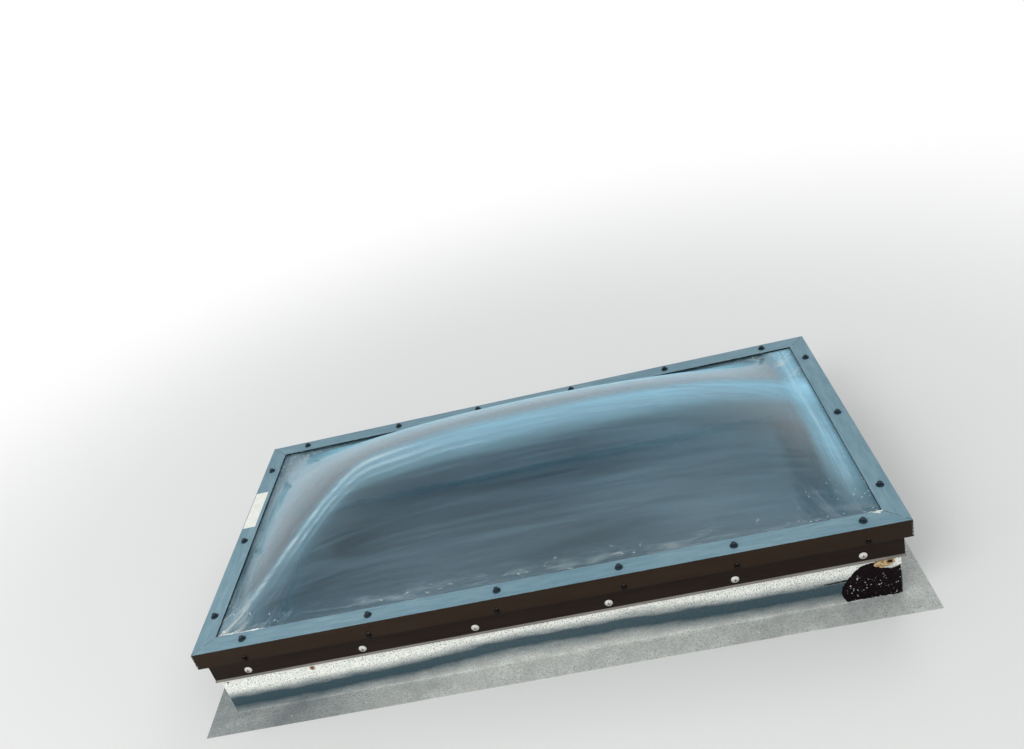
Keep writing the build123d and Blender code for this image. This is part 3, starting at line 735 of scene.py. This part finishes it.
for name, first, second, size, roughness, depth, others in SMALL_PARTS:
    small[name] = plain_finish(name, (*first, 1), (*second, 1), size, roughness, depth, **others)
print("small parts' finishes:", ", ".join(small))

# %% Painted shade and dirt in the cross recesses
# Where little of the sky reaches, in a recess or at the foot of a head, the steel is painted
# darker: painted shade, and the dirt that stays there.
RECESS_SHADE_AND_DIRT = (0.05, 0.040, 0.030, 1)
RECESS_REACH = 2.5 * MM
tree = small["bright_steel"].node_tree
shader = tree.nodes["Principled BSDF"]
clean_steel = shader.inputs["Base Color"].links[0].from_socket
shelter = add_node(tree, "ShaderNodeAmbientOcclusion", samples=8, Distance=RECESS_REACH)
recess = remap(tree, shelter.outputs["AO"], 0.80, 0.45)
# Painted shade and dirt where the occlusion finds a recess
tree.links.new(mix_colour(tree, recess, clean_steel, RECESS_SHADE_AND_DIRT), shader.inputs["Base Color"])

# %% [markdown]
# ## Give each node its finish
#
# The record says which material slot each node takes. Pieces with a run along X or Y take the
# long or short version of a finish that has a direction.

# %% Assign finishes
DIRECTED = {
    "pine": (pine_long, pine_short),
    "bronze_frame": (frame_long, frame_short),
    "bronze_retainer": (retainer_long, retainer_short),
}
PLAIN = {
    "galvanised": galvanised,
    "clear_acrylic": clear_acrylic,
    "bronze_acrylic": bronze_acrylic,
    **small,
}
for part in frame["record"]["subparts"]:
    name, slot = part["node"], part["material_slot"]
    if slot in DIRECTED:
        finish = DIRECTED[slot][0 if name.endswith(("front", "back")) else 1]
    # The leg screws are the same black steel without the painted sky reflection
    elif name == "leg_screws":
        finish = small["leg_steel"]
    else:
        finish = PLAIN[slot]
    materials = nodes[name].data.materials
    materials.clear()
    materials.append(finish)

# %% [markdown]
# ## Dust and painted sky reflection on the dome
#
# A thin film over the dome carries pale dust and a painted sky reflection. The reflection is a
# sky-blue haze, densest in a ridge across the crown, which rises to the right and bends down
# along the left shoulder, where pale lines follow it, partly wipe marks and partly painted
# reflection. More painted reflection lies along the right flank. Rain's dust lies thinly over
# all, at the front foot and in streaks out of the corners. The film is a skin of its own: the
# dome's upper faces are copied, trimmed at the retainer's inner edges, lifted by a tenth of a
# millimetre and given a little thickness. The film's alpha leaves most of it clear.

# %% Skin over a node
FACES_UP = 0.05
SAME_VERTEX = 0.001 * MM
window_low = Vector((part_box("retainer_left")[1].x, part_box("retainer_front")[1].y, 0))
window_high = Vector((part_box("retainer_right")[0].x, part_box("retainer_back")[0].y, 0))


def skin_over(node, name, lift, thickness, lowest_z):
    """A thin closed skin over a node's upward faces, inside the retainer's window."""
    shape = bmesh.new()
    shape.from_mesh(nodes[node].data)
    bmesh.ops.remove_doubles(shape, verts=shape.verts, dist=SAME_VERTEX)
    hidden = [
        face
        for face in shape.faces
        if face.normal.z < FACES_UP or face.calc_center_median().z < lowest_z
    ]
    bmesh.ops.delete(shape, geom=hidden, context="FACES")
    for corner, outward in (
        (window_low, (-1, 0, 0)),
        (window_low, (0, -1, 0)),
        (window_high, (1, 0, 0)),
        (window_high, (0, 1, 0)),
    ):
        everything = shape.verts[:] + shape.edges[:] + shape.faces[:]
        bmesh.ops.bisect_plane(
            shape, geom=everything, plane_co=corner, plane_no=outward, clear_outer=True
        )
    for vert in shape.verts:
        vert.co += vert.normal * lift
    bmesh.ops.solidify(shape, geom=shape.faces[:], thickness=-thickness)
    bmesh.ops.recalc_face_normals(shape, faces=shape.faces)
    for face in shape.faces:
        face.smooth = True
    mesh = bpy.data.meshes.new(name)
    shape.to_mesh(mesh)
    shape.free()
    piece = bpy.data.objects.new(name, mesh)
    scene.collection.objects.link(piece)
    print(name, len(mesh.polygons), "faces")
    return piece


DOME_THICKNESS = 4.5 * MM
FILM_LIFT = 0.12 * MM
FILM_THICKNESS = 0.05 * MM
dome_low, dome_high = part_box("outer_dome")
flange_top = dome_low.z + DOME_THICKNESS
reflection_and_dust_film = skin_over(
    "outer_dome", "reflection_and_dust_film", FILM_LIFT, FILM_THICKNESS, flange_top - FILM_THICKNESS
)

# %% Places on the dome
# Places are shares of the way from the middle to the dome's root: 1 is at the root on the right
# or at the back, -1 on the left or at the front.
CLAMPED_FLANGE = 20.25 * MM
ROOT_X = dome_high.x - CLAMPED_FLANGE
ROOT_Y = dome_high.y - CLAMPED_FLANGE
# The film's finish: painted sky reflection in blue and dust in white
dust_and_reflection_finish, tree, shader = new_finish("dust_and_reflection_finish", Roughness=0.8, Specular_IOR_Level=0.2)
place = add_node(tree, "ShaderNodeTexCoord")
parts = add_node(tree, "ShaderNodeSeparateXYZ")
tree.links.new(place.outputs["Object"], parts.inputs[0])
signed_x = combine(tree, "DIVIDE", parts.outputs["X"], ROOT_X)
signed_y = combine(tree, "DIVIDE", parts.outputs["Y"], ROOT_Y)
share_x = combine(tree, "ABSOLUTE", signed_x, 0.0)
share_y = combine(tree, "ABSOLUTE", signed_y, 0.0)


def times(*values):
    """The product of several masks."""
    product = values[0]
    for value in values[1:]:
        product = combine(tree, "MULTIPLY", product, value)
    return product


def total(*values):
    """The sum of several masks."""
    result = values[0]
    for value in values[1:]:
        result = combine(tree, "ADD", result, value)
    return result


# %% Fine streaks
def streaks(scale, turn, low, high, top=1.0, warp=0.0, slant=0):
    """Lines on the dome: noise stretched along X, or along a line at a slant to it.

    The turn comes after the stretch, so it picks another part of the noise and turns no line.
    """
    along = object_place(tree, scale=scale, turn=(0, 0, math.radians(turn)))
    if slant:
        # A texture mapping turns first and stretches after
        along.node.vector_type = "TEXTURE"
        along.node.inputs["Scale"].default_value = [1 / s for s in scale]
        along.node.inputs["Rotation"].default_value = (0, 0, math.radians(slant))
    lines = add_node(tree, "ShaderNodeTexNoise", Scale=1.0, Detail=3.0, Roughness=0.6)
    lines.inputs["Distortion"].default_value = warp
    tree.links.new(along, lines.inputs["Vector"])
    return remap(tree, lines.outputs["Fac"], low, high, 0.0, top)


wipe_marks = total(
    streaks((1.7, 20, 8), -5, 0.36, 0.70, 0.045, 0.7),
    streaks((3.2, 95, 30), -8, 0.48, 0.75, 0.026, 0.3),
)
FILM = 0.035
front_film = total(
    times(remap(tree, signed_y, -0.40, -0.78, 0.0, FILM), remap(tree, signed_x, -0.70, -0.30)),
    times(
        remap(tree, signed_x, 0.20, 0.50, 0.0, FILM),
        remap(tree, signed_x, 0.825, 0.795),
        remap(tree, signed_y, -0.05, -0.35),
    ),
)

# %% Ridge of painted reflection
# The ridge's height is a share of the way to the back. One curve runs across the crown, another
# comes up the left shoulder, and a smooth minimum joins them. *Below* is the distance in front
# of the ridge, with a little waver.
to_right = combine(tree, "MAXIMUM", signed_x, 0.0)
to_left = combine(tree, "MINIMUM", signed_x, 0.0)
across_crown = total(times(to_right, to_right, 0.38), times(to_left, 0.02), 0.06)
up_shoulder = total(times(signed_x, 2.3), 1.374)
ridge = add_node(tree, "ShaderNodeMath", operation="SMOOTH_MIN")
tree.links.new(across_crown, ridge.inputs[0])
tree.links.new(up_shoulder, ridge.inputs[1])
ridge.inputs[2].default_value = 0.25
waver = streaks((2.5, 2.5, 2.5), 0, 0.2, 0.8, 0.05)
below = total(combine(tree, "SUBTRACT", ridge.outputs[0], signed_y), waver, -0.025)
# The ridge's sky-blue haze is painted sky reflection
ridge_reflection = times(
    total(remap(tree, below, 0.30, 0.0, 0.0, 0.32), remap(tree, below, 0.55, 0.0, 0.0, 0.10)),
    remap(tree, below, -0.16, 0.0),
    remap(tree, signed_x, -0.85, -0.15, 0.2, 1.0),
    remap(tree, signed_x, -0.10, 0.50, 1.0, 1.15),
    total(streaks((4, 60, 20), -6, 0.3, 0.7, 0.4), 0.80),
)


def pale_line(offset, half_width, left_end, right_end, top):
    """A ragged pale line that keeps its distance from the ridge."""
    away = combine(tree, "ABSOLUTE", total(below, -offset, ragged), 0.0)
    return times(
        remap(tree, away, half_width, 0.0),
        remap(tree, signed_x, left_end, left_end + 0.12),
        remap(tree, signed_x, right_end, right_end - 0.25),
        total(streaks((4, 34, 12), -45, 0.36, 0.62, 0.6, 0.4), 0.4),
        top,
    )


ragged = streaks((11, 11, 11), 0, 0.3, 0.7, 0.020, 0.3)
# Pale lines that follow the ridge: partly wipe marks and partly painted reflection
pale_lines = total(
    pale_line(0.0, 0.060, -1.02, -0.25, 0.34),
    pale_line(0.11, 0.045, -0.86, -0.05, 0.24),
    pale_line(0.20, 0.035, -0.80, 0.1, 0.12),
)

# %% Flanks
# A broad wash and fine streaks of painted sky reflection along the right flank; white dust streaks
# on the left
right_flank_reflection = times(
    remap(tree, signed_x, 0.905, 0.962),
    remap(tree, signed_x, 1.010, 0.985, 0.5, 1.0),
    remap(tree, signed_y, -0.97, -0.30),
    total(streaks((70, 5, 10), 0, 0.35, 0.65, 0.5), 0.7),
    0.42,
)
right_flank_streaks = times(
    remap(tree, signed_x, 0.925, 0.965),
    remap(tree, signed_x, 1.000, 0.975),
    remap(tree, signed_y, -0.97, -0.30),
    streaks((90, 3.5, 10), 0, 0.42, 0.62, 0.16, 0.3),
)
left_flank = times(remap(tree, signed_x, -0.86, -0.97), streaks((60, 6, 10), 0, 0.40, 0.75, 0.16))
# A faint film, the wipe marks and the front film are dust; the ridge and the right flank are
# painted reflection
haze_and_reflection = total(0.012, wipe_marks, front_film, ridge_reflection, right_flank_reflection)

# %% Streaks and specks at the corners
corner = times(remap(tree, share_x, 0.74, 1.0), remap(tree, share_y, 0.50, 1.0))
same_sign = remap(tree, times(signed_x, signed_y), -0.02, 0.02)
corner_streaks = total(
    times(streaks((6, 110, 20), 0, 0.50, 0.72, slant=52), same_sign),
    times(
        streaks((6, 110, 20), 0, 0.52, 0.72, 0.35, slant=-64),
        combine(tree, "SUBTRACT", 1.0, same_sign),
    ),
)
front_foot = times(
    remap(tree, signed_y, -0.90, -0.985),
    total(
        streaks((14, 90, 20), 8, 0.50, 0.76, 0.13, 0.3),
        streaks((50, 150, 40), 12, 0.65, 0.72, 0.26, 0.5),
        0.02,
    ),
)
speck_cells = add_node(tree, "ShaderNodeTexVoronoi", Scale=210.0)
tree.links.new(place.outputs["Object"], speck_cells.inputs["Vector"])
speck_pick = add_node(tree, "ShaderNodeSeparateColor")
tree.links.new(speck_cells.outputs["Color"], speck_pick.inputs[0])
speck_size = total(times(speck_pick.outputs["Blue"], 0.9), 0.25)
specks = times(
    remap(tree, combine(tree, "DIVIDE", speck_cells.outputs["Distance"], speck_size), 0.30, 0.16),
    remap(tree, speck_pick.outputs["Green"], 0.78, 0.84),
    remap(tree, corner, 0.10, 0.45, 0.0, 0.7),
)
white_marks = total(left_flank, times(corner_streaks, corner, 0.36), front_foot, specks)
pale_marks = total(pale_lines, right_flank_streaks)
dust_and_reflection = total(haze_and_reflection, white_marks, pale_marks)

# %% Finish of the dust and painted reflection
# The blue is painted sky reflection, the white is dust
PAINTED_SKY_BLUE = (0.42, 0.77, 0.95, 1)
DUST_WHITE = (0.80, 0.86, 0.84, 1)
MOST_COVER = 0.85
greyed = total(
    white_marks, times(pale_marks, 0.45), times(wipe_marks, 0.2), times(front_film, 0.6)
)
blue_to_white = remap(tree, greyed, 0.02, 0.22)
tree.links.new(mix_colour(tree, blue_to_white, PAINTED_SKY_BLUE, DUST_WHITE), shader.inputs["Base Color"])
tree.links.new(remap(tree, dust_and_reflection, 0.0, MOST_COVER, 0.0, MOST_COVER), shader.inputs["Alpha"])
reflection_and_dust_film.data.materials.append(dust_and_reflection_finish)
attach(reflection_and_dust_film, "root")

# %% [markdown]
# ## Smears of sealant
#
# White sealant has squeezed out at two corners, where the retainer meets the dome's flange.
# Each smear starts as flattened icospheres in a row. A voxel remesh melts them into one body,
# and a little noise along the normals takes away their evenness.

# %% Smears
VOXEL = 0.9 * MM
SMEAR_ROUGHNESS = 0.5 * MM
LUMP_SIZE = 6 * MM


def smear(name, daubs, finish, seed=0.0):
    """Melts flattened balls into one lump; a daub is x, y, z, half sizes and a turn."""
    shape = bmesh.new()
    for x, y, z, long_half, wide_half, high_half, turn in daubs:
        ball = bmesh.ops.create_icosphere(shape, subdivisions=3, radius=1.0)["verts"]
        bmesh.ops.scale(shape, verts=ball, vec=(long_half * MM, wide_half * MM, high_half * MM))
        bmesh.ops.rotate(
            shape, verts=ball, cent=(0, 0, 0), matrix=Euler((0, 0, math.radians(turn))).to_matrix()
        )
        bmesh.ops.translate(shape, verts=ball, vec=(x * MM, y * MM, z * MM))
    mesh = bpy.data.meshes.new(name)
    shape.to_mesh(mesh)
    shape.free()
    return melt(name, mesh, finish, SMEAR_ROUGHNESS, seed)


def melt(name, mesh, finish, roughness, seed):
    """Voxel remesh, then noise along the normals; the result is a closed, smooth mesh."""
    piece = bpy.data.objects.new(name, mesh)
    scene.collection.objects.link(piece)
    remesh = piece.modifiers.new("melt", "REMESH")
    remesh.mode = "VOXEL"
    remesh.voxel_size = VOXEL
    depsgraph = bpy.context.evaluated_depsgraph_get()
    melted = bpy.data.meshes.new_from_object(piece.evaluated_get(depsgraph))
    piece.modifiers.clear()
    shape = bmesh.new()
    shape.from_mesh(melted)
    all_axes = {"use_axis_x": True, "use_axis_y": True, "use_axis_z": True}
    bmesh.ops.smooth_vert(shape, verts=shape.verts, factor=0.5, **all_axes)
    shape.normal_update()
    for vert in shape.verts:
        spot = vert.co / LUMP_SIZE + Vector((seed, seed, seed))
        vert.co += vert.normal * noise.noise(spot) * roughness
    for face in shape.faces:
        face.smooth = True
    shape.to_mesh(melted)
    shape.free()
    melted.name = name
    piece.data = melted
    piece.data.materials.clear()
    piece.data.materials.append(finish)
    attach(piece, "root")
    print(name, len(melted.polygons), "faces")
    return piece


sealant = small["sealant"]
roof_cement = small["roof_cement"]
ON_FLANGE = flange_top / MM
ON_RETAINER = RETAINER_TOP / MM
left_corner = smear(
    "sealant_left",
    [
        (-598, -291, ON_FLANGE + 0.2, 3.5, 4.5, 1.1, 30),
        (-591, -300, ON_FLANGE + 0.3, 7, 2.0, 1.3, 20),
        (-584, -302.6, ON_RETAINER - 1.8, 6, 2.0, 1.8, 10),
        (-577, -303.6, ON_RETAINER - 1.0, 5.0, 3.0, 1.9, 15),
        (-567, -304.3, ON_RETAINER - 0.9, 6, 1.4, 1.2, 3),
        (-557, -304.4, ON_RETAINER - 0.8, 6, 1.6, 1.3, 0),
        (-546, -304.4, ON_RETAINER - 0.7, 7, 1.7, 1.5, 2),
        (-536, -304.3, ON_RETAINER - 0.7, 7, 2.3, 1.7, 0),
        (-529, -304.0, ON_RETAINER - 0.6, 6, 2.6, 1.8, 5),
        (-519, -304.6, ON_RETAINER - 0.6, 6, 1.3, 1.0, 0),
    ],
    sealant,
)
right_corner = smear(
    "sealant_right",
    [
        (602, -307.6, ON_RETAINER, 5.5, 3.2, 1.8, 8),
        (596.5, -306.8, ON_RETAINER, 4.0, 1.6, 1.2, -8),
        (608, -306.2, ON_RETAINER, 3.5, 1.7, 1.3, 25),
        (604, -311, ON_RETAINER, 2.6, 1.8, 1.0, 60),
        (590, -304.2, ON_RETAINER - 1.2, 6, 1.3, 1.2, 0),
        (581, -304.0, ON_RETAINER - 1.6, 5, 1.0, 1.0, 0),
    ],
    sealant,
    seed=3.0,
)

# %% [markdown]
# ## Roof cement
#
# Black roof cement, trowelled over the right end of the front wall, full of grit. The solid
# gives its outline. Here a copy of it is merged, melted and roughened into trowelled lumps, and
# grains of pale grit stick to it. A scrap of old foam, gone yellow and brown, sits on its edge.

# %% Lumpy cement
CEMENT_ROUGHNESS = 1.5 * MM
shape = bmesh.new()
shape.from_mesh(nodes["cement_patch"].data)
bmesh.ops.remove_doubles(shape, verts=shape.verts, dist=SAME_VERTEX)
cement_mesh = bpy.data.meshes.new("cement_lumps")
shape.to_mesh(cement_mesh)
shape.free()
cement_lumps = melt("cement_lumps", cement_mesh, roof_cement, CEMENT_ROUGHNESS, seed=1.7)
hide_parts("cement_patch")
patch_low, patch_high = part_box("cement_patch")

# %% Grit
GRIT_COUNT = 130
chance = random.Random(11)
grit_shape = bmesh.new()
for index in range(GRIT_COUNT):
    across = chance.uniform(patch_low.x + 8 * MM, patch_high.x - 2 * MM)
    up = chance.uniform(patch_low.z + 2 * MM, patch_high.z - 22 * MM)
    # Most grains are fine, and a few are nearly a millimetre
    size = (0.22 + 0.7 * chance.random() ** 4) * MM
    grain_verts = bmesh.ops.create_icosphere(grit_shape, subdivisions=1, radius=size)["verts"]
    bmesh.ops.scale(grit_shape, verts=grain_verts, vec=(chance.uniform(0.8, 2.0), 1.0, 1.0))
    bmesh.ops.translate(grit_shape, verts=grain_verts, vec=(across, patch_low.y - 0.1 * MM, up))
grit_mesh = bpy.data.meshes.new("cement_grit")
grit_shape.to_mesh(grit_mesh)
grit_shape.free()
cement_grit = bpy.data.objects.new("cement_grit", grit_mesh)
scene.collection.objects.link(cement_grit)
grit_mesh.materials.append(sealant)
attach(cement_grit, "root")
print("grit", GRIT_COUNT, "grains")

# %% Old foam and a trowel's last stroke
ON_CEMENT = patch_low.y / MM
foam_scrap = smear(
    "foam_scrap",
    [
        (588, ON_CEMENT - 0.4, 79.5, 6, 2.4, 5.0, 0),
        (596, ON_CEMENT - 0.5, 76.5, 6, 2.6, 5.5, 0),
        (604, ON_CEMENT - 0.4, 77.5, 5, 2.4, 5.0, 0),
        (611, ON_CEMENT - 0.2, 77.0, 5, 2.2, 2.8, 0),
        (616.5, ON_CEMENT - 0.1, 82.0, 2.4, 2.0, 4.5, 0),
        (609, ON_CEMENT - 0.2, 87.0, 7, 1.8, 1.8, 0),
        (593, ON_CEMENT - 0.3, 85.0, 9, 2.0, 2.6, 0),
        (602, ON_CEMENT - 0.3, 83.0, 3, 2.0, 3.5, 0),
    ],
    small["old_foam"],
    seed=5.0,
)
pale_smear = smear(
    "pale_smear",
    [
        (570, ON_CEMENT + 0.6, 86.0, 8, 1.2, 1.6, 0),
        (579, ON_CEMENT + 0.4, 87.0, 5, 1.2, 1.3, 0),
        (606, ON_CEMENT - 0.8, 71.5, 8, 1.6, 1.3, 0),
    ],
    sealant,
    seed=2.0,
)
last_stroke = smear(
    "last_stroke",
    [
        (502, ON_CEMENT + 2.0, 52.5, 10, 1.0, 0.9, 0),
        (517, ON_CEMENT + 2.0, 53.0, 11, 1.0, 1.1, 0),
        (531, ON_CEMENT + 1.6, 53.5, 9, 1.2, 1.6, 0),
        (610.5, ON_CEMENT + 0.8, 82.0, 4.5, 1.0, 4.0, 0),
    ],
    roof_cement,
    seed=8.0,
)
